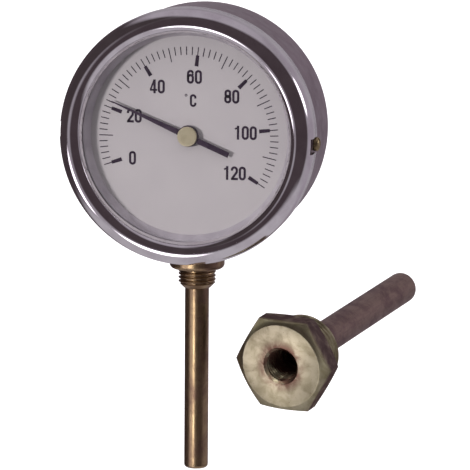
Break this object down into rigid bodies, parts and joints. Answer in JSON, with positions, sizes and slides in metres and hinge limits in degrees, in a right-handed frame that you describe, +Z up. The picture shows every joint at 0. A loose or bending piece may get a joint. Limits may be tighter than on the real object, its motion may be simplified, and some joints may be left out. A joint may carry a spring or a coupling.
{
  "type": "dial thermometer",
  "caption": "Round bimetal dial thermometer in a chromed case with a bottom brass stem, shown with its loose brass immersion pocket.",
  "frame": {"origin": "on the stem's axis at the underside of the collar, where the thermometer seals on its pocket", "axes": "+Z up along the stem towards the case, -Y forward out of the dial, +X to the right of a person reading the dial"},
  "size_m": [0.113, 0.1118, 0.1654],
  "materials": {
    "chromed_cup": "satin",
    "chromed_bezel": "polished",
    "screw_brass": "worn",
    "window": "clear",
    "rubber": "matt",
    "ring_paint": "satin",
    "sheet_steel": "plain",
    "dial_paint": "matt white with black print",
    "pointer_paint": "satin black",
    "cap_brass": "polished",
    "shaft_steel": "ground",
    "gear_brass": "plain",
    "stem_brass": "tarnished",
    "bimetal": "plain",
    "pocket_brass": "machined, stained",
    "tube_brass": "drawn, tarnished"
  },
  "bodies": {
    "thermometer": {"case_cup": "chromed_cup", "bezel": "chromed_bezel", "bezel_screws": "screw_brass", "window_glass": "window", "glass_gasket": "rubber", "spacer_ring": "ring_paint", "dial_ledge": "sheet_steel", "dial_plate": "dial_paint", "movement_frame": "gear_brass", "arbor_bush_front": "gear_brass", "arbor_bush_rear": "gear_brass", "socket": "stem_brass", "saddle_washer": "gear_brass", "socket_nut": "gear_brass", "spindle_bush_upper": "gear_brass", "spindle_bush_lower": "gear_brass", "bimetal_helix": "bimetal", "helix_anchor": "gear_brass", "stem_tube": "stem_brass", "stem_plug": "stem_brass"},
    "pointer_set": {"pointer": "pointer_paint", "pointer_boss": "pointer_paint", "hub_cap": "cap_brass", "pointer_arbor": "shaft_steel", "arbor_pinion": "gear_brass"},
    "spindle_set": {"spindle": "shaft_steel", "crown_wheel": "gear_brass", "helix_hub": "gear_brass"},
    "pocket": {"pocket_head": "pocket_brass", "pocket_tube": "tube_brass", "pocket_plug": "tube_brass"}
  },
  "joints": [
    {"name": "spindle_turn", "type": "hinge", "parent": "thermometer", "child": "spindle_set", "pos_m": [0, 0, 0.02], "axis": [0, 0, 1], "range_deg": [-96.15, 23.2]},
    {"name": "pointer_turn", "type": "hinge", "parent": "thermometer", "child": "pointer_set", "pos_m": [0, -0.016, 0.049], "axis": [0, 1, 0], "range_deg": [-46.39, 192.31]},
    {"name": "pocket_slide", "type": "slide", "parent": "thermometer", "child": "pocket", "axis": [1, 0, 0], "range_m": [0, 0.06]}
  ],
  "couplings": [
    {"joint": "pointer_turn", "follows": "spindle_turn", "ratio": -2}
  ]
}
